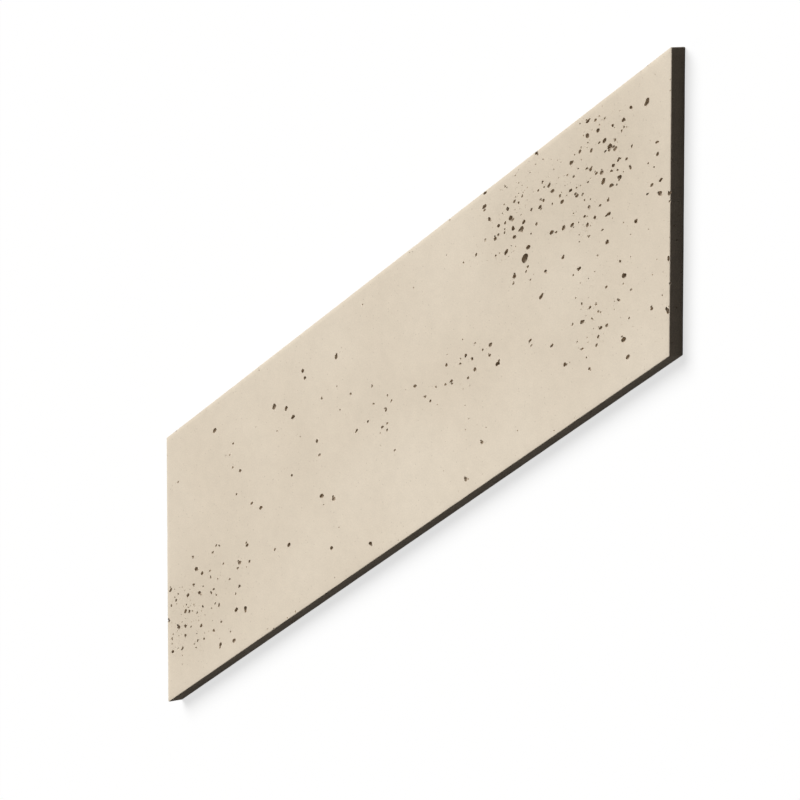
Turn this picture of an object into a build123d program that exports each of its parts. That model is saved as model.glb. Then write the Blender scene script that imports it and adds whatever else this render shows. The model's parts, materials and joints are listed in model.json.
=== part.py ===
from build123d import *
import math
import os
import random
from collections import namedtuple

# A chevron wall panel of cast concrete, one slab with a leaning outline, lying on its back.
# Origin on the back, at the middle of the outline's box. +X runs along the wall, +Y up the wall
# and +Z out of the decorative face. Lengths are in millimetres, angles in degrees.

# Outline and thickness
long_edge = 600.0  # each leaning edge
short_edge = 200.0  # each upright edge
lean = 30.0  # climb of the leaning edges from level
thickness = 13.0

# Eased edges
corner_radius = 1.0  # upright corners of the outline
arris = 0.8  # small bevel round the decorative face

# Air bubbles that the decorative face cuts open
smallest_bubble = 0.9  # radius
small_share = 1.6  # above 1, small bubbles outnumber large ones
least_sink = 0.1  # depth of a bubble's middle below the face, in radii
most_sink = 0.5
longest_stretch = 1.5  # length over width of the most drawn-out bubble
roughness = 0.14  # how far a corner of a bubble's wall strays, in radii
bubble_wall = 0.3  # least concrete between two bubbles, or a bubble and the arris
bubble_seed = 41

# Rings of corners down a bubble's wall, by their angle from straight up
Ring = namedtuple("Ring", "polar corners")
bubble_rings = (Ring(40.0, 5), Ring(88.0, 7), Ring(145.0, 4))

# Patches of bubbles. The middle is a share of the long edge and of the short edge, from the
# lower left corner. The spread is along the long edge and up the short edge, and the last
# number is the largest radius.
Patch = namedtuple("Patch", "along up spread_along spread_up count largest")
patches = (
    Patch(0.076, 0.29, 27.0, 18.0, 62, 2.1),  # lower left corner
    Patch(0.73, 0.82, 23.0, 14.0, 54, 2.2),  # below the upper edge
    Patch(0.875, 0.78, 23.0, 17.0, 76, 2.5),  # upper right, the densest
    Patch(0.725, 0.60, 13.0, 8.0, 8, 2.0),
    Patch(0.88, 0.27, 19.0, 15.0, 24, 2.0),  # lower right
    Patch(0.635, 0.43, 30.0, 9.0, 18, 1.8),
    Patch(0.45, 0.50, 17.0, 12.0, 9, 1.6),  # middle
    Patch(0.97, 0.62, 5.0, 9.0, 8, 2.2),  # right edge
    Patch(0.30, 0.45, 100.0, 50.0, 10, 1.5),  # the calm left half
)

# Bubbles that stand alone: share of the long edge, share of the short edge, radius
Lone = namedtuple("Lone", "along up radius")
lone_bubbles = (
    Lone(0.74, 0.67, 3.2),
    Lone(0.11, 0.89, 1.8),
    Lone(0.15, 0.79, 1.2),
    Lone(0.165, 0.67, 1.5),
    Lone(0.19, 0.52, 1.5),
    Lone(0.21, 0.48, 1.7),
    Lone(0.24, 0.81, 2.3),
    Lone(0.265, 0.77, 1.8),
    Lone(0.28, 0.72, 2.0),
    Lone(0.30, 0.86, 1.7),
    Lone(0.305, 0.83, 1.4),
    Lone(0.33, 0.57, 1.5),
    Lone(0.34, 0.71, 1.1),
    Lone(0.37, 0.82, 1.8),
    Lone(0.40, 0.65, 1.2),
    Lone(0.18, 0.38, 1.8),
    Lone(0.24, 0.29, 1.2),
    Lone(0.27, 0.27, 2.1),
    Lone(0.34, 0.36, 2.1),
    Lone(0.365, 0.32, 1.8),
    Lone(0.36, 0.15, 1.9),
    Lone(0.44, 0.07, 2.0),
    Lone(0.15, 0.06, 1.7),
    Lone(0.465, 0.45, 1.4),
    Lone(0.53, 0.51, 1.5),
    Lone(0.56, 0.42, 1.2),
    Lone(0.63, 0.06, 1.6),
    Lone(0.66, 0.15, 1.5),
    Lone(0.69, 0.38, 2.5),
    Lone(0.75, 0.38, 1.3),
    Lone(0.77, 0.50, 1.9),
    Lone(0.79, 0.31, 1.5),
    Lone(0.81, 0.58, 1.8),
    Lone(0.84, 0.50, 1.8),
    Lone(0.89, 0.52, 2.0),
    Lone(0.94, 0.52, 1.8),
    Lone(0.92, 0.37, 2.4),
    Lone(0.92, 0.16, 2.3),
)

# Bubbles that break an edge of the face
edge_bubbles = (
    Lone(0.998, 0.53, 1.8),
    Lone(0.998, 0.32, 2.0),
    Lone(0.998, 0.15, 2.3),
    Lone(0.665, 0.995, 2.0),
    Lone(0.76, 0.995, 1.8),
    Lone(0.002, 0.31, 2.0),
)

# Worked out from the sizes above
run = long_edge * math.cos(math.radians(lean))  # width along the wall
rise = long_edge * math.sin(math.radians(lean))  # climb of a long edge
low_corner = Vector(-run / 2, -(rise + short_edge) / 2)
along_wall = Vector(run, rise) / long_edge  # one step along the long edge
up_wall = Vector(0, 1)  # one step up the short edge


def on_face(along, up):
    return low_corner + along_wall * along + up_wall * up


def at_share(place):
    return on_face(place.along * long_edge, place.up * short_edge)


def slab():
    corners = [on_face(a, u) for a, u in ((0, 0), (long_edge, 0), (long_edge, short_edge), (0, short_edge))]
    body = extrude(make_face(Polyline(*corners, close=True)), thickness)
    body = fillet(body.edges().filter_by(Axis.Z), corner_radius)
    return chamfer(body.faces().sort_by(Axis.Z)[-1].edges(), arris)


def room_to_edge(spot):
    # Shortest way from a place on the face to the outline, less the arris.
    off = spot - low_corner
    up = off.Y - off.X * rise / run
    to_uprights = min(off.X, run - off.X)
    to_leaning = min(up, short_edge - up) * run / long_edge
    return min(to_uprights, to_leaning) - arris


def bubble(spot, radius, stretch, draw):
    # A rough hollow: corners on rings down a ball, drawn out one way and turned at random.
    turn = draw.uniform(0, math.pi)
    corners = []
    for ring in bubble_rings:
        start = draw.uniform(0, 2 * math.pi)
        level = math.sin(math.radians(ring.polar))
        for k in range(ring.corners):
            angle = start + 2 * math.pi * k / ring.corners
            reach = radius * (1 + draw.uniform(-roughness, roughness))
            x = reach * level * math.cos(angle) * math.sqrt(stretch)
            y = reach * level * math.sin(angle) / math.sqrt(stretch)
            z = reach * math.cos(math.radians(ring.polar))
            corners.append((x, y, z))
    sink = draw.uniform(least_sink, most_sink) * radius
    middle = Pos(spot.X, spot.Y, thickness - sink)
    return middle * Rot(Z=math.degrees(turn)) * ConvexPolyhedron(corners)


def bubble_places():
    # Each bubble is clear of those before it, and of the edges unless it breaks one.
    kept = []
    draw = random.Random(bubble_seed)

    def keep(spot, radius, breaks_edge=False):
        stretch = draw.uniform(1, longest_stretch)
        reach = radius * math.sqrt(stretch) * (1 + roughness)
        clear = all((spot - s).length > reach + r + bubble_wall for s, r, *_ in kept)
        if clear and (breaks_edge or room_to_edge(spot) > reach + bubble_wall):
            kept.append((spot, reach, radius, stretch))

    for lone in lone_bubbles:
        keep(at_share(lone), lone.radius)
    for lone in edge_bubbles:
        keep(at_share(lone), lone.radius, breaks_edge=True)
    for patch in patches:
        for _ in range(patch.count):
            stray = along_wall * draw.gauss(0, patch.spread_along) + up_wall * draw.gauss(0, patch.spread_up)
            size = draw.random() ** small_share
            keep(at_share(patch) + stray, smallest_bubble + (patch.largest - smallest_bubble) * size)
    return kept


def wall_panel():
    draw = random.Random(bubble_seed)
    hollows = [bubble(spot, radius, stretch, draw) for spot, _, radius, stretch in bubble_places()]
    print(len(hollows), "bubbles open in the face")
    return slab() - hollows


os.makedirs("parts", exist_ok=True)
export_step(wall_panel(), "parts/wall_panel.step")
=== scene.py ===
import bpy
import bmesh
import json
import math
import numpy as np
from mathutils import Matrix, Vector


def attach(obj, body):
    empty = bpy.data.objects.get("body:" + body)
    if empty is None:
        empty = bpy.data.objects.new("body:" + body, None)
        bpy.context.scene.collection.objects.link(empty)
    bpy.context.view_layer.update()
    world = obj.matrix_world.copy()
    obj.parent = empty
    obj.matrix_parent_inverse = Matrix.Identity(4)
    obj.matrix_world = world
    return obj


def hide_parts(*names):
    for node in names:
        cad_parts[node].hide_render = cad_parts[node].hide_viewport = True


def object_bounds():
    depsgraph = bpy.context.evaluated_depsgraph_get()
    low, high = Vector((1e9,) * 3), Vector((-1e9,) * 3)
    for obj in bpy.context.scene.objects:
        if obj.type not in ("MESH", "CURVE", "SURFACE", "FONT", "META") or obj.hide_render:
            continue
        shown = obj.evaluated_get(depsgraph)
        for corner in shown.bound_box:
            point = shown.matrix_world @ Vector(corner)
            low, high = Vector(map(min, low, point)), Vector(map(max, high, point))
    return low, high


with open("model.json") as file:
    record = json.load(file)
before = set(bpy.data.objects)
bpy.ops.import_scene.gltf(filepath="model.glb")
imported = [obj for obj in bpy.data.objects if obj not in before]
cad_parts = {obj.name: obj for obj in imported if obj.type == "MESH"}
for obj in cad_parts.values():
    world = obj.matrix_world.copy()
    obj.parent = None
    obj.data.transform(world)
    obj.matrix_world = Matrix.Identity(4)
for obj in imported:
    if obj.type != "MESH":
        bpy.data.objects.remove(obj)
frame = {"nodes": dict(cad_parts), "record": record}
cadLow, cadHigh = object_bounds()
faceLevel = cadHigh.z  # height of the decorative face
mountSpot = {m["name"]: Vector(m["pos_m"]) for m in frame["record"]["mounts"]}
mountAxis = {m["name"]: Vector(m["axis"]) for m in frame["record"]["mounts"]}
edgeNames = ("left_edge", "right_edge", "lower_edge", "upper_edge")
tiny = 1e-6  # places nearer to each other than this are one, in metres
print("frame loaded, box", [round(v, 4) for v in cadHigh - cadLow])


# helpers for node trees
def plug(tree, socket, value):
    if isinstance(value, bpy.types.NodeSocket):
        tree.links.new(value, socket)
    else:
        socket.default_value = value


def inUse(sockets, name):  # a name can belong to several sockets, of which the node uses one
    if isinstance(name, int):
        return sockets[name]
    return next(s for s in sockets if s.name == name and s.enabled)


def put(tree, kind, sockets=None, **settings):
    made = tree.nodes.new(kind)
    for name, value in settings.items():
        setattr(made, name, value)
    for name, value in (sockets or {}).items():
        plug(tree, inUse(made.inputs, name), value)
    return made


def calc(tree, operation, *values):
    made = put(tree, "ShaderNodeMath", operation=operation)
    for socket, value in zip(made.inputs, values):
        plug(tree, socket, value)
    return made.outputs[0]


def times(tree, first, *others):
    for other in others:
        first = calc(tree, "MULTIPLY", first, other)
    return first


def ramp(tree, value, low, high, start=0.0, end=1.0):  # smooth step from start to end
    sockets = {"Value": value, "From Min": low, "From Max": high, "To Min": start, "To Max": end}
    return put(tree, "ShaderNodeMapRange", sockets, interpolation_type="SMOOTHSTEP").outputs["Result"]


def noise(tree, place, size, detail=2.0, rough=0.5):  # size is that of one patch, in metres
    sockets = {"Vector": place, "Scale": 1 / size, "Detail": detail, "Roughness": rough}
    return put(tree, "ShaderNodeTexNoise", sockets).outputs["Fac"]


def swing(tree, value):  # noise about zero
    return calc(tree, "SUBTRACT", value, 0.5)


def scaled(tree, vector, factor):
    return put(tree, "ShaderNodeVectorMath", {0: vector, "Scale": factor}, operation="SCALE").outputs[0]


def parts(tree, vector):
    return put(tree, "ShaderNodeSeparateXYZ", {"Vector": vector}).outputs


def joined(tree, **sockets):
    return put(tree, "ShaderNodeCombineXYZ", sockets).outputs[0]


# slab: the cast panel before its pores are opened
slab = {
    "cornerRadius": 0.001,  # upright corners
    "cornerSteps": 4,
    "arris": 0.0008,  # eased edge round the face
    "backEase": 0.0004,  # eased edge round the back
    "easeSteps": 3,
    "easeProfile": 0.5,  # round
    "rowStep": 0.0038,  # spacing of the mesh rows
    "layers": 4,  # rows up the sides
    "wearReach": 0.0018,  # how far from the edge wear can reach
    "orderDigits": 6,  # decimals of a metre that put its corners in order
}


def orderKey(place, digits):  # a place in round figures, to sort by
    return [round(c, digits) for c in place]


def edgeInsets(x, y):  # distance in from each straight edge
    insets = []
    for name in edgeNames:
        spot, out = mountSpot[name], mountAxis[name]
        insets.append((spot.x - x) * out.x + (spot.y - y) * out.y)
    return np.array(insets)


def panelCorners():
    up = Vector((0, (mountSpot["upper_edge"].y - mountSpot["lower_edge"].y) / 2))
    left = mountSpot["left_edge"].xy
    right = mountSpot["right_edge"].xy
    return [left - up, right - up, right + up, left + up]


def roundedOutline(corners, radius, steps):
    points = []
    for k, corner in enumerate(corners):
        back = (corners[k - 1] - corner).normalized()
        ahead = (corners[(k + 1) % len(corners)] - corner).normalized()
        half = back.angle(ahead) / 2
        middle = corner + (back + ahead).normalized() * radius / math.sin(half)
        start = (corner + back * radius / math.tan(half) - middle).normalized()
        end = (corner + ahead * radius / math.tan(half) - middle).normalized()
        for step in range(steps + 1):
            points.append(middle + start.slerp(end, step / steps) * radius)
    return points


def cutRows(mesh, normal, low, high, step):
    count = round((high - low) / step)
    for k in range(1, count):
        geom = mesh.verts[:] + mesh.edges[:] + mesh.faces[:]
        spot = normal * (low + (high - low) * k / count)
        bmesh.ops.bisect_plane(mesh, geom=geom, dist=tiny, plane_co=spot, plane_no=normal)


def inOrder(mesh):  # corners and faces by their places, so that every run numbers them alike
    corners = sorted(mesh.verts, key=lambda v: orderKey(v.co, slab["orderDigits"]))
    for k, v in enumerate(corners):
        v.index = k
    faces = []
    for face in mesh.faces:
        ring = [v.index for v in face.verts]
        start = ring.index(min(ring))
        faces.append(ring[start:] + ring[:start])
    return [v.co.copy() for v in corners], [], sorted(faces)


def makeSlab():
    mesh = bmesh.new()
    points = roundedOutline(panelCorners(), slab["cornerRadius"], slab["cornerSteps"])
    ring = [mesh.verts.new((p.x, p.y, 0)) for p in points]
    top = bmesh.ops.extrude_face_region(mesh, geom=[mesh.faces.new(ring)])
    raised = [v for v in top["geom"] if isinstance(v, bmesh.types.BMVert)]
    bmesh.ops.translate(mesh, verts=raised, vec=(0, 0, faceLevel))
    bmesh.ops.recalc_face_normals(mesh, faces=mesh.faces)
    for level, ease in ((faceLevel, slab["arris"]), (0, slab["backEase"])):
        rim = [e for e in mesh.edges if all(abs(v.co.z - level) < tiny for v in e.verts)]
        bmesh.ops.bevel(mesh, geom=rim, offset=ease, segments=slab["easeSteps"],
                        profile=slab["easeProfile"], affect="EDGES")
    across = mountAxis["upper_edge"]
    reach = mountSpot["upper_edge"].dot(across)
    cutRows(mesh, Vector((1, 0, 0)), cadLow.x, cadHigh.x, slab["rowStep"])
    cutRows(mesh, across, -reach, reach, slab["rowStep"])
    cutRows(mesh, Vector((0, 0, 1)), 0, faceLevel, faceLevel / slab["layers"])
    data = bpy.data.meshes.new("slab")
    data.from_pydata(*inOrder(mesh))
    mesh.free()
    co = np.array([v.co for v in data.vertices])
    inset = np.maximum(edgeInsets(co[:, 0], co[:, 1]).min(0), 0)
    arris = np.clip(1 - (inset + faceLevel - co[:, 2]) / slab["wearReach"], 0, 1)
    data.attributes.new("arris", "FLOAT", "POINT").data.foreach_set("value", arris.astype(np.float32))
    made = bpy.data.objects.new("slab", data)
    bpy.context.scene.collection.objects.link(made)
    print("slab", len(data.polygons), "faces")
    return made


# pits: the larger air bubbles, read from the frame's own face
pits = {
    "wallDrop": 1e-5,  # a corner of a bubble's wall lies at least this far below the face
    "wallInset": 1e-4,  # and this far in from the eased edge
    "sink": 0.3,  # depth of a bubble's middle below the face, in radii
    "swell": 1.05,  # the ball is this much wider than its mouth
    "reach": 1.6,  # how far a rough ball and its neighbour can stretch, in radii
    "bite": 0.43,  # half width of a bubble beside an edge, as a share of its reach from that edge
    "draw": 1.6,  # how much longer than wide the mix left its bubbles
    "drawAngle": math.radians(42),  # and which way, from level
    "orderDigits": 5,  # decimals of a metre that put them in order
}


def readPits():  # the rim and the deepest level of each bubble
    mesh = bmesh.new()
    mesh.from_mesh(frame["nodes"]["wall_panel"].data)
    bmesh.ops.remove_doubles(mesh, verts=mesh.verts, dist=tiny)

    def inside(v):
        if v.co.z >= faceLevel - pits["wallDrop"]:
            return False
        return edgeInsets(v.co.x, v.co.y).min() > slab["arris"] + pits["wallInset"]

    found = []
    for seed in mesh.verts:
        if seed.tag or not inside(seed):
            continue
        rim, floor, todo = [], faceLevel, [seed]
        seed.tag = True
        while todo:
            v = todo.pop()
            floor = min(floor, v.co.z)
            for w in (e.other_vert(v) for e in v.link_edges):
                if w.tag:
                    continue
                w.tag = True
                (todo if inside(w) else rim).append(w)
        found.append((np.array([v.co.xy for v in rim]), floor))
    mesh.free()
    return found


def drawnOut(axis, long, wide):  # the mouth stretched the way that the mix ran, its area kept
    mouth = np.array((axis * long, (-axis[1] * wide, axis[0] * wide))).T
    way = np.array((math.cos(pits["drawAngle"]), math.sin(pits["drawAngle"])))
    more = math.sqrt(pits["draw"])
    stretch = np.eye(2) / more + np.outer(way, way) * (more - 1 / more)
    axes, halves, _ = np.linalg.svd(stretch @ mouth)
    return axes[:, 0], halves[0], halves[1]


def pitShape(rim):  # middle, long axis, half length and half width of a bubble's mouth
    middle = (rim.max(0) + rim.min(0)) / 2
    insets = edgeInsets(rim[:, 0], rim[:, 1])
    nearest = insets.min(1).argmin()
    if insets[nearest].min() > slab["arris"]:
        axis = np.linalg.eigh(np.cov((rim - middle).T))[1][:, 1]
        across = np.array((-axis[1], axis[0]))
        return middle, *drawnOut(axis, np.ptp(rim @ axis) / 2, np.ptp(rim @ across) / 2)
    out = np.array(mountAxis[edgeNames[nearest]].xy)  # this one lies beside an edge
    axis = np.array((-out[1], out[0]))
    reach = insets[nearest].max()
    middle = middle + out * (edgeInsets(*middle)[nearest] - reach * (1 - pits["bite"]))
    return middle, axis, np.ptp(rim @ axis) / 2, reach * pits["bite"]


def pitBatches(spots, sizes):  # bubbles that could touch go to different batches
    batches = []
    for k, spot in enumerate(spots):
        taken = set()
        for j in range(k):
            apart = math.dist(spot[:2], spots[j][:2])
            if apart < pits["reach"] * (sizes[k][0] + sizes[j][0]):
                taken.add(batches[j])
        batches.append(min(set(range(len(taken) + 1)) - taken))
    return batches


def pitPoints():
    made = []
    for rim, floor in readPits():
        middle, axis, long, wide = pitShape(rim)
        tall = (faceLevel - floor) / (1 + pits["sink"])
        spot = (middle[0], middle[1], faceLevel - tall * pits["sink"])
        size = (long * pits["swell"], wide * pits["swell"], tall)
        made.append((spot, size, math.atan2(axis[1], axis[0])))
    made.sort(key=lambda pit: orderKey(pit[0], pits["orderDigits"]))
    spots, sizes, turns = zip(*made)
    batches = pitBatches(spots, sizes)
    data = bpy.data.meshes.new("pits")
    data.from_pydata(spots, [], [])
    size = data.attributes.new("poreSize", "FLOAT_VECTOR", "POINT")
    size.data.foreach_set("vector", np.array(sizes, np.float32).ravel())
    data.attributes.new("poreTurn", "FLOAT", "POINT").data.foreach_set("value", turns)
    data.attributes.new("batch", "FLOAT", "POINT").data.foreach_set("value", batches)
    holder = bpy.data.objects.new("cast_panel", data)
    bpy.context.scene.collection.objects.link(holder)
    print("pits", len(spots), "in", max(batches) + 1, "batches")
    return holder, max(batches) + 1


# pores: inputs of the Geometry Nodes that wear the slab and open the bubbles in it
pores = {
    "Face wave": 0.00012,  # how far the face dips
    "Side wave": 0.00025,
    "Back wave": 0.0004,
    "Wear depth": 0.0016,
    "Crowd reach": 0.007,  # how far round it a bubble marks the face as porous
    "Crowd blur": 50,  # rounds of smoothing of that mark
    "Twin share": 0.45,  # bubbles with a smaller one broken into their rim
    "Small density": 26000.0,  # most per square metre
    "Small gap": 0.003,  # least between two middles
    "Small least": 0.0005,  # radius
    "Small most": 0.001,
    "Pinhole density": 55000.0,
    "Pinhole gap": 0.0013,
    "Pinhole least": 0.00022,
    "Pinhole most": 0.00042,
    "Lift": 0.5,  # most that a small pore's middle stands above the face, in radii
    "Side density": 8000.0,
    "Side gap": 0.004,
    "Chip density": 50000.0,
    "Chip gap": 0.006,
    "Wall roughness": 0.5,  # in radii
    "Seed": 7,
}

# what each kind of pore draws its sizes and turns from
poreSeeds = {"Small": 11, "Side": 21, "Chip": 31, "Twin": 41, "Pinhole": 51}
drawsPerTwin = 3  # so each batch of twins starts this much further on

# relief: the patterns that those inputs follow
relief = {
    "wear": {"size": 0.0105, "detail": 4.0, "rough": 0.6},
    "wearFrom": 0.56,  # an edge is worn where its noise is above this
    "Face wave": {"size": 0.083, "detail": 2.0},
    "Side wave": {"size": 0.017, "detail": 4.0},
    "Back wave": {"size": 0.022, "detail": 5.0},
    "dent": {"size": 0.0024},
    "fineDent": {"size": 0.0007},
    "dentWeight": 2.0,  # over the fine one's
    "facing": (0.2, 0.9),  # a surface turns from side to face between these slopes
    "flat": 0.95,  # slope above which small pores open
    "sideFrom": 0.9,  # marks above which side pores and chips open
    "chipFrom": 0.55,
    "crowdFull": 0.4,  # blurred mark at which the face counts as fully porous
    "crowdRange": (0.0, 0.8),  # small pores thicken over this range of the mark
    "calmShare": 0.03,  # of their density, where no bubble is near
    "patch": {"size": 0.03, "detail": 3.0},  # they come in patches
    "patchRange": (0.38, 0.62),
    "sizePower": 1.8,  # above 1, small ones outnumber large ones
    "widths": (0.5, 0.9),  # width over length
    "turns": (pits["drawAngle"] - 0.6, pits["drawAngle"] + 0.6),  # about the way that the mix ran
    "lifts": (-0.6, 1.0),  # shares of Lift, below zero sunk
    "twinSizes": (0.4, 0.7),  # of the bubble that a twin breaks into
    "twinAway": 0.9,  # from its middle, in half lengths
    "smallBall": 2,  # rounds of division
    "largeBall": 3,
    "leastIsland": 1000.0,  # corners of the smallest bit that stays
    "crispAngle": math.radians(38),  # edges that bend more than this stay sharp
}


def named(tree, name, kind="FLOAT"):
    return put(tree, "GeometryNodeInputNamedAttribute", {"Name": name}, data_type=kind).outputs["Attribute"]


def keepAs(tree, geometry, name, value, kind="FLOAT"):
    sockets = {"Geometry": geometry, "Name": name, "Value": value}
    return put(tree, "GeometryNodeStoreNamedAttribute", sockets, data_type=kind, domain="POINT").outputs[0]


def placeOf(tree):
    return put(tree, "GeometryNodeInputPosition").outputs[0]


def normalOf(tree):
    return put(tree, "GeometryNodeInputNormal").outputs[0]


def upwardOf(tree):  # 1 on the face, 0 on the sides, -1 on the back
    return parts(tree, normalOf(tree))["Z"]


def shifted(tree, geometry, offset):
    return put(tree, "GeometryNodeSetPosition", {"Geometry": geometry, "Offset": offset}).outputs[0]


def distanceTo(tree, geometry, element):
    made = put(tree, "GeometryNodeProximity", {"Geometry": geometry}, target_element=element)
    return made.outputs["Distance"]


def isAbove(tree, value, level):
    return put(tree, "FunctionNodeCompare", {0: value, 1: level}, operation="GREATER_THAN").outputs[0]


def chance(tree, low, high, seed):
    made = put(tree, "FunctionNodeRandomValue", {"Min": low, "Max": high, "Seed": seed}, data_type="FLOAT")
    return inUse(made.outputs, "Value")


def dropped(tree, geometry, chosen):
    sockets = {"Geometry": geometry, "Selection": chosen}
    return put(tree, "GeometryNodeDeleteGeometry", sockets, domain="POINT").outputs[0]


def wornSlab(tree, given, mesh):  # faces dip a little and edges wear, always inwards
    place = placeOf(tree)
    upward = upwardOf(tree)
    low, high = relief["facing"]
    onFace = ramp(tree, upward, low, high)
    onBack = ramp(tree, upward, -low, -high)
    onSide = calc(tree, "SUBTRACT", calc(tree, "SUBTRACT", 1.0, onFace), onBack)
    above = calc(tree, "SUBTRACT", noise(tree, place, **relief["wear"]), relief["wearFrom"])
    wear = calc(tree, "MAXIMUM", above, 0.0)
    depth = times(tree, wear, named(tree, "arris"), given["Wear depth"])
    for where, wave in ((onFace, "Face wave"), (onSide, "Side wave"), (onBack, "Back wave")):
        dip = times(tree, where, given[wave], noise(tree, place, **relief[wave]))
        depth = calc(tree, "ADD", depth, dip)
    sided = keepAs(tree, mesh, "side", onSide)
    return shifted(tree, sided, scaled(tree, normalOf(tree), calc(tree, "MULTIPLY", depth, -1.0)))


def crowdedSlab(tree, given, mesh, bubbles):  # how porous the face is round about, from 0 to 1
    close = ramp(tree, distanceTo(tree, bubbles, "POINTS"), 0.0, given["Crowd reach"], 1.0, 0.0)
    sockets = {"Value": close, "Iterations": given["Crowd blur"]}
    blurred = put(tree, "GeometryNodeBlurAttribute", sockets, data_type="FLOAT").outputs[0]
    return keepAs(tree, mesh, "crowd", ramp(tree, blurred, 0.0, relief["crowdFull"]))


def scatter(tree, given, mesh, chosen, kind, factor=1.0):
    sockets = {"Mesh": mesh, "Selection": chosen, "Distance Min": given[kind + " gap"],
               "Density Max": given[kind + " density"], "Density Factor": factor, "Seed": given["Seed"]}
    made = put(tree, "GeometryNodeDistributePointsOnFaces", sockets, distribute_method="POISSON")
    return made.outputs["Points"]


def sized(tree, points, least, most, seed):  # gives every point a size and a turn
    grade = calc(tree, "POWER", chance(tree, 0.0, 1.0, seed), relief["sizePower"])
    radius = calc(tree, "ADD", least, times(tree, grade, calc(tree, "SUBTRACT", most, least)))
    wide = times(tree, radius, chance(tree, *relief["widths"], seed + 1))
    size = joined(tree, X=radius, Y=wide, Z=radius)
    points = keepAs(tree, points, "poreSize", size, "FLOAT_VECTOR")
    return keepAs(tree, points, "poreTurn", chance(tree, *relief["turns"], seed + 2))


def facePoints(tree, given, mesh, kind):  # thickest where large bubbles crowd
    patchy = ramp(tree, noise(tree, placeOf(tree), **relief["patch"]), *relief["patchRange"])
    crowd = ramp(tree, named(tree, "crowd"), *relief["crowdRange"], relief["calmShare"], 1.0)
    onFace = isAbove(tree, upwardOf(tree), relief["flat"])
    points = scatter(tree, given, mesh, onFace, kind, times(tree, crowd, patchy))
    points = sized(tree, points, given[kind + " least"], given[kind + " most"], poreSeeds[kind])
    radius = parts(tree, named(tree, "poreSize", "FLOAT_VECTOR"))["Z"]
    lift = times(tree, radius, given["Lift"], chance(tree, *relief["lifts"], poreSeeds[kind] + 3))
    return shifted(tree, points, scaled(tree, (0, 0, 1), lift))


def rimPoints(tree, given, mesh, kind, mark, level):  # on the sides or along the eased edge
    points = scatter(tree, given, mesh, isAbove(tree, named(tree, mark), level), kind)
    return sized(tree, points, given["Pinhole least"], given["Small most"], poreSeeds[kind])


def batchOf(tree, bubbles, number):
    off = calc(tree, "ABSOLUTE", calc(tree, "SUBTRACT", named(tree, "batch"), float(number)))
    return dropped(tree, bubbles, isAbove(tree, off, 0.5))  # the numbers are whole


def twinPoints(tree, given, bubbles, seed):  # smaller bubbles that break into the rim of others
    points = dropped(tree, bubbles, isAbove(tree, chance(tree, 0.0, 1.0, seed), given["Twin share"]))
    size = named(tree, "poreSize", "FLOAT_VECTOR")
    angle = chance(tree, 0.0, 2 * math.pi, seed + 1)
    shrink = chance(tree, *relief["twinSizes"], seed + 2)
    away = times(tree, parts(tree, size)["X"], relief["twinAway"])
    rise = times(tree, parts(tree, size)["Z"], pits["sink"], calc(tree, "SUBTRACT", 1.0, shrink))
    east = times(tree, calc(tree, "COSINE", angle), away)
    north = times(tree, calc(tree, "SINE", angle), away)
    moved = shifted(tree, points, joined(tree, X=east, Y=north, Z=rise))
    return keepAs(tree, moved, "poreSize", scaled(tree, size, shrink), "FLOAT_VECTOR")


def roughShells(tree, points, detail, roughness):  # a dented ball on every point
    size = named(tree, "poreSize", "FLOAT_VECTOR")
    euler = joined(tree, Z=named(tree, "poreTurn"))
    spin = put(tree, "FunctionNodeEulerToRotation", {"Euler": euler}).outputs[0]
    ball = put(tree, "GeometryNodeMeshIcoSphere", {"Radius": 1.0, "Subdivisions": detail}).outputs["Mesh"]
    sockets = {"Points": points, "Instance": ball, "Rotation": spin, "Scale": size}
    shells = put(tree, "GeometryNodeInstanceOnPoints", sockets).outputs[0]
    real = put(tree, "GeometryNodeRealizeInstances", {"Geometry": shells}).outputs[0]
    place = placeOf(tree)
    coarse = swing(tree, noise(tree, place, **relief["dent"]))
    fine = swing(tree, noise(tree, place, **relief["fineDent"]))
    dent = calc(tree, "ADD", times(tree, coarse, relief["dentWeight"]), fine)
    depth = times(tree, dent, roughness, parts(tree, size)["Z"])
    return shifted(tree, real, scaled(tree, normalOf(tree), depth))


def withoutCrumbs(tree, mesh, least):  # drops bits that the cuts set free
    island = put(tree, "GeometryNodeInputMeshIsland").outputs["Island Index"]
    count = put(tree, "GeometryNodeAccumulateField", {"Value": 1.0, "Group ID": island}, domain="POINT")
    return dropped(tree, mesh, isAbove(tree, least, inUse(count.outputs, "Total")))


def likeSlab(tree, mesh, worn, names):  # the wall of a pore takes the marks of the slab beside it
    for name in names:
        sockets = {"Mesh": worn, "Value": named(tree, name)}
        beside = put(tree, "GeometryNodeSampleNearestSurface", sockets, data_type="FLOAT")
        mesh = keepAs(tree, mesh, name, inUse(beside.outputs, "Value"))
    return mesh


def crispEdges(tree, mesh, angle):
    smooth = put(tree, "GeometryNodeSetShadeSmooth", {"Geometry": mesh}, domain="FACE").outputs[0]
    bend = put(tree, "GeometryNodeInputMeshEdgeAngle").outputs["Unsigned Angle"]
    sockets = {"Geometry": smooth, "Selection": isAbove(tree, bend, angle), "Shade Smooth": False}
    return put(tree, "GeometryNodeSetShadeSmooth", sockets, domain="EDGE").outputs[0]


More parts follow.
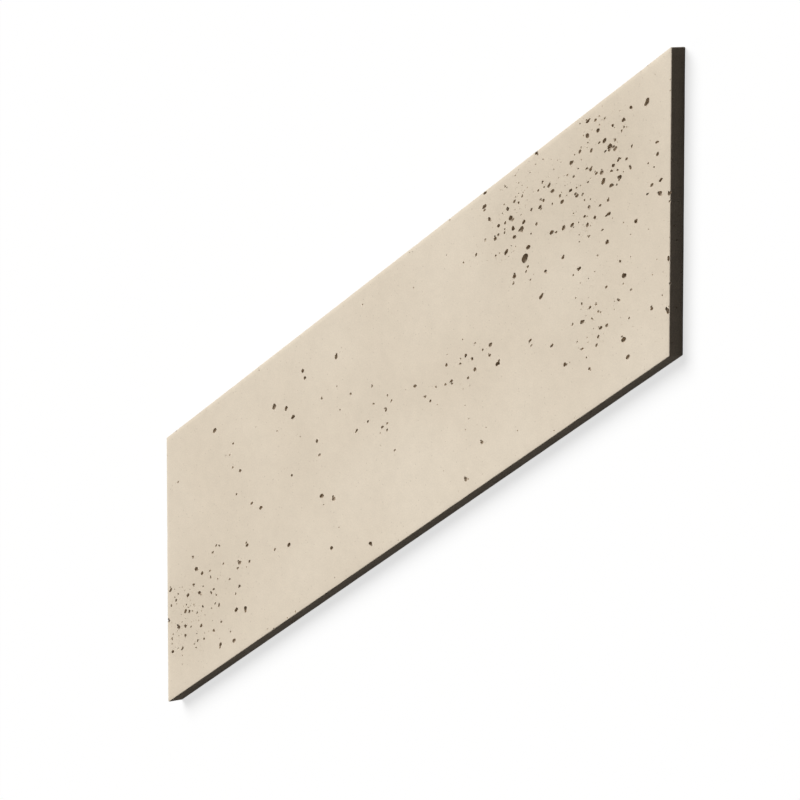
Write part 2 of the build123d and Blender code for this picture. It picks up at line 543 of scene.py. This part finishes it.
def poreShells(tree, given, worn, bubbles, batches):  # what is cut from the slab, in order
    small = [
        facePoints(tree, given, worn, "Small"),
        facePoints(tree, given, worn, "Pinhole"),
        rimPoints(tree, given, worn, "Side", "side", relief["sideFrom"]),
        rimPoints(tree, given, worn, "Chip", "arris", relief["chipFrom"]),
    ]
    large = []
    for number in range(batches):
        batch = batchOf(tree, bubbles, number)
        seed = poreSeeds["Twin"] + drawsPerTwin * number
        large += [batch, twinPoints(tree, given, batch, seed)]
    rough = given["Wall roughness"]
    shells = [roughShells(tree, points, relief["smallBall"], rough) for points in small]
    return shells + [roughShells(tree, points, relief["largeBall"], rough) for points in large]


def poreTree(batches):
    tree = bpy.data.node_groups.new("openPores", "GeometryNodeTree")
    sockets = tree.interface
    sockets.new_socket("Geometry", in_out="INPUT", socket_type="NodeSocketGeometry")
    sockets.new_socket("Slab", in_out="INPUT", socket_type="NodeSocketObject")
    sockets.new_socket("Concrete", in_out="INPUT", socket_type="NodeSocketMaterial")
    for name, value in pores.items():
        kind = "NodeSocketInt" if isinstance(value, int) else "NodeSocketFloat"
        sockets.new_socket(name, in_out="INPUT", socket_type=kind)
    sockets.new_socket("Geometry", in_out="OUTPUT", socket_type="NodeSocketGeometry")
    given = put(tree, "NodeGroupInput").outputs
    bubbles = given["Geometry"]
    plain = put(tree, "GeometryNodeObjectInfo", {"Object": given["Slab"]}).outputs["Geometry"]
    worn = crowdedSlab(tree, given, wornSlab(tree, given, plain), bubbles)
    opened = put(tree, "GeometryNodeMeshBoolean", {"Mesh 1": worn}, operation="DIFFERENCE", solver="MANIFOLD")
    for shells in poreShells(tree, given, worn, bubbles, batches):
        tree.links.new(shells, opened.inputs["Mesh 2"])
    whole = withoutCrumbs(tree, opened.outputs["Mesh"], relief["leastIsland"])
    whole = keepAs(tree, whole, "sunk", distanceTo(tree, worn, "FACES"))
    whole = likeSlab(tree, whole, worn, ("side", "arris", "crowd"))
    edged = crispEdges(tree, whole, relief["crispAngle"])
    real = put(tree, "GeometryNodeRealizeInstances", {"Geometry": edged}).outputs[0]
    sockets = {"Geometry": real, "Material": given["Concrete"]}
    put(tree, "NodeGroupOutput", {"Geometry": put(tree, "GeometryNodeSetMaterial", sockets).outputs[0]})
    return tree


def openPores(plain, material):
    points, batches = pitPoints()
    modifier = points.modifiers.new("openPores", "NODES")
    modifier.node_group = poreTree(batches)
    values = dict(pores, Slab=plain, Concrete=material)
    for item in modifier.node_group.interface.items_tree:
        if item.name in values:
            modifier[item.identifier] = values[item.name]
    depsgraph = bpy.context.evaluated_depsgraph_get()
    done = bpy.data.meshes.new_from_object(points.evaluated_get(depsgraph), depsgraph=depsgraph)
    points.modifiers.remove(modifier)
    points.data = done
    bpy.data.objects.remove(plain)
    triangles = sum(len(p.vertices) - 2 for p in done.polygons)
    print("pores opened,", len(done.polygons), "faces,", triangles, "triangles")
    return points


# concrete: warm ivory, matt and clouded, with sand grain and pinholes; painted shade on the sides, in the
# pinholes and down the pores, and a painted highlight on the eased edge
concrete = {
    "pale": (0.745, 0.658, 0.536, 1.0),
    "deep": (0.705, 0.615, 0.494, 1.0),
    "porous": (0.665, 0.578, 0.460, 1.0),  # where pores crowd
    # the sides' own slightly greyer tone, darkened further as painted shade
    "side": (0.500, 0.425, 0.340, 1.0),
    "poreShade": (0.480, 0.395, 0.300, 1.0),  # painted shade at the bottom of a pore
    "deepPoreShade": (0.280, 0.225, 0.165, 1.0),  # deeper painted shade at the bottom of the largest
    "grain": (0.420, 0.350, 0.270, 1.0),  # sand that shows
    "cloud": {"size": 0.15, "detail": 3.0},
    "cloudRange": (0.3, 0.7),
    "mottle": {"size": 0.035, "detail": 4.0, "rough": 0.6},
    "blotch": {"size": 0.008, "detail": 3.0},
    "sand": {"size": 0.0011, "detail": 3.0, "rough": 0.7},
    "grainSpecks": {"size": 0.0032, "radius": 0.2, "share": 0.35},
    "grainStrength": 0.35,
    # pinholes too small to cut: dots of painted pore shade, also dented in the bump
    "pinholeSpecks": {"size": 0.0046, "radius": 0.1},
    "pinholeShare": 0.15,  # share of these specks that shows, away from the pores
    "pinholeCrowd": 0.7,  # added to it where pores crowd
    "pinholeStrength": 0.6,
    "poreDepth": 0.0011,  # at which a pore takes its full painted shade
    "deepDepth": (0.0015, 0.0034),  # over which that painted shade deepens further
    "shade": 0.97,  # what the colours are dimmed to
    "arrisWearAndHighlight": 0.06,  # how much paler the eased edge is: wear, with a painted edge highlight
    "mottleShade": 0.08,
    "blotchShade": 0.09,
    "sandShade": 0.2,
    "sideShade": 3.0,  # how much blotchier the sides are than the face
    "mottleRange": (0.3, 0.7),  # over which the roughness changes
    "roughness": (0.82, 0.94),
    "specular": 0.25,
    "blotchHeight": 0.5,
    "sandHeight": 0.35,
    "bumpStrength": 0.5,
    "bumpDepth": 0.00035,
}


def mixColour(tree, factor, first, second, blend="MIX"):
    made = put(tree, "ShaderNodeMix", data_type="RGBA", blend_type=blend)
    for name, value in (("Factor", factor), ("A", first), ("B", second)):
        plug(tree, inUse(made.inputs, name), value)
    return inUse(made.outputs, "Result")


def specks(tree, place, size, radius, share):  # 1 inside scattered dots, of which a share shows
    cells = put(tree, "ShaderNodeTexVoronoi", {"Vector": place, "Scale": 1 / size}).outputs
    lucky = put(tree, "ShaderNodeSeparateColor", {"Color": cells["Color"]}).outputs["Red"]
    shown = calc(tree, "LESS_THAN", lucky, share)
    return times(tree, ramp(tree, cells["Distance"], radius, radius / 2), shown)


def marked(tree, name):
    return put(tree, "ShaderNodeAttribute", attribute_name=name).outputs["Fac"]


def castConcrete():
    material = bpy.data.materials.new("castConcrete")
    material.use_nodes = True
    tree = material.node_tree
    shader = tree.nodes["Principled BSDF"]
    place = put(tree, "ShaderNodeTexCoord").outputs["Object"]
    cloud = noise(tree, place, **concrete["cloud"])
    mottle = noise(tree, place, **concrete["mottle"])
    blotch = noise(tree, place, **concrete["blotch"])
    sand = noise(tree, place, **concrete["sand"])
    crowd = marked(tree, "crowd")
    side = marked(tree, "side")
    depth = marked(tree, "sunk")

    colour = mixColour(tree, ramp(tree, cloud, *concrete["cloudRange"]), concrete["deep"], concrete["pale"])
    colour = mixColour(tree, crowd, colour, concrete["porous"])
    # the sides take their own greyer tone with painted shade added
    colour = mixColour(tree, side, colour, concrete["side"])
    grain = specks(tree, place, **concrete["grainSpecks"])
    colour = mixColour(tree, times(tree, grain, concrete["grainStrength"]), colour, concrete["grain"])
    # painted shade of pinholes: scattered dots in the pore shade, thicker where pores crowd
    share = calc(tree, "MULTIPLY_ADD", crowd, concrete["pinholeCrowd"], concrete["pinholeShare"])
    pinhole = specks(tree, place, **concrete["pinholeSpecks"], share=share)
    colour = mixColour(tree, times(tree, pinhole, concrete["pinholeStrength"]), colour, concrete["poreShade"])
    # painted shade: darker with depth below the face, deepest in the largest pores
    colour = mixColour(tree, ramp(tree, depth, 0.0, concrete["poreDepth"]), colour, concrete["poreShade"])
    colour = mixColour(tree, ramp(tree, depth, *concrete["deepDepth"]), colour, concrete["deepPoreShade"])

    # the eased edge is paler: wear, with a painted edge highlight
    shade = calc(tree, "MULTIPLY_ADD", marked(tree, "arris"), concrete["arrisWearAndHighlight"], concrete["shade"])
    uneven = calc(tree, "MULTIPLY_ADD", side, concrete["sideShade"], 1.0)
    for value, weight in ((mottle, "mottleShade"), (blotch, "blotchShade"), (sand, "sandShade")):
        change = times(tree, swing(tree, value), concrete[weight], uneven)
        shade = calc(tree, "ADD", shade, change)
    colour = mixColour(tree, 1.0, colour, shade, "MULTIPLY")
    plug(tree, shader.inputs["Base Color"], colour)

    rough = ramp(tree, mottle, *concrete["mottleRange"], *concrete["roughness"])
    plug(tree, shader.inputs["Roughness"], rough)
    shader.inputs["Specular IOR Level"].default_value = concrete["specular"]
    bumps = times(tree, blotch, concrete["blotchHeight"])
    bumps = calc(tree, "ADD", bumps, times(tree, sand, concrete["sandHeight"]))
    bumps = calc(tree, "SUBTRACT", bumps, pinhole)
    sockets = {"Height": bumps, "Strength": concrete["bumpStrength"], "Distance": concrete["bumpDepth"]}
    plug(tree, shader.inputs["Normal"], put(tree, "ShaderNodeBump", sockets).outputs["Normal"])
    return material


castPanel = openPores(makeSlab(), castConcrete())
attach(castPanel, "root")
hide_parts("wall_panel")
print("panel rides on root")

# studio: white floor, one soft lamp and a dim room
studio = {
    "white": (1.0, 1.0, 1.0, 1.0),
    "lampFrom": Vector((-0.62, 0.78, 1.25)),
    "lampStrength": 3.75,
    "lampSpread": math.radians(45),
    "room": 0.07,  # light from all round
    "roomTint": (1.0, 0.93, 0.84, 1.0),
    "floorSize": 60.0,
    "floorGap": 0.0001,  # below the panel's back
    "floorGlow": 0.7,  # share of the floor's white that shadows leave
    "floorBounce": 0.07,  # grey of the floor that lights the panel
}


def grey(level):
    return (level, level, level, 1.0)


def seenDirectly(tree):  # camera, mirror and glass rays
    path = put(tree, "ShaderNodeLightPath").outputs
    seen = calc(tree, "MAXIMUM", path["Is Camera Ray"], path["Is Glossy Ray"])
    return calc(tree, "MAXIMUM", seen, path["Is Transmission Ray"])


def makeFloor():
    half = studio["floorSize"] / 2
    level = cadLow.z - studio["floorGap"]
    corners = [(x * half, y * half, level) for x, y in ((-1, -1), (1, -1), (1, 1), (-1, 1))]
    data = bpy.data.meshes.new("floor")
    data.from_pydata(corners, [], [(0, 1, 2, 3)])
    floor = bpy.data.objects.new("floor", data)
    bpy.context.scene.collection.objects.link(floor)
    material = bpy.data.materials.new("studioFloor")
    material.use_nodes = True
    tree = material.node_tree
    tree.nodes.remove(tree.nodes["Principled BSDF"])
    lit = put(tree, "ShaderNodeBsdfDiffuse", {"Color": grey(1 - studio["floorGlow"])}).outputs[0]
    glow = put(tree, "ShaderNodeEmission", {"Strength": studio["floorGlow"]}).outputs[0]
    shown = put(tree, "ShaderNodeAddShader", {0: lit, 1: glow}).outputs[0]
    dull = put(tree, "ShaderNodeBsdfDiffuse", {"Color": grey(studio["floorBounce"])}).outputs[0]
    both = put(tree, "ShaderNodeMixShader", {"Fac": seenDirectly(tree), 1: dull, 2: shown}).outputs[0]
    tree.links.new(both, tree.nodes["Material Output"].inputs["Surface"])
    data.materials.append(material)


def makeLight():
    lamp = bpy.data.lights.new("softLamp", "SUN")
    lamp.energy = studio["lampStrength"]
    lamp.angle = studio["lampSpread"]
    holder = bpy.data.objects.new("softLamp", lamp)
    holder.rotation_euler = studio["lampFrom"].to_track_quat("Z", "Y").to_euler()
    bpy.context.scene.collection.objects.link(holder)
    world = bpy.data.worlds.new("room")
    world.use_nodes = True
    tree = world.node_tree
    seen = seenDirectly(tree)
    background = tree.nodes["Background"]
    plug(tree, background.inputs["Color"], mixColour(tree, seen, studio["roomTint"], studio["white"]))
    plug(tree, background.inputs["Strength"], calc(tree, "MAXIMUM", seen, studio["room"]))
    bpy.context.scene.world = world


# camera: the photograph's viewing angle, closer in
camera = {
    "fromFace": Vector((2.0686, 0.3139, 1.8653)),  # eye, from the middle of the face
    "lens": 181.5,
    "sensor": 36.0,
}


def makeCamera():
    data = bpy.data.cameras.new("camera")
    data.lens = camera["lens"]
    data.sensor_width = camera["sensor"]
    holder = bpy.data.objects.new("camera", data)
    back = camera["fromFace"].normalized()
    up = Vector((0, 1, 0))  # the short edges stand upright in the picture
    right = up.cross(back).normalized()
    up = back.cross(right)
    holder.rotation_euler = Matrix((right, up, back)).transposed().to_euler()
    holder.location = camera["fromFace"] + Vector((0, 0, faceLevel))
    bpy.context.scene.collection.objects.link(holder)
    bpy.context.scene.camera = holder


makeFloor()
makeLight()
makeCamera()
bpy.context.scene.view_settings.view_transform = "Standard"
print("studio ready")
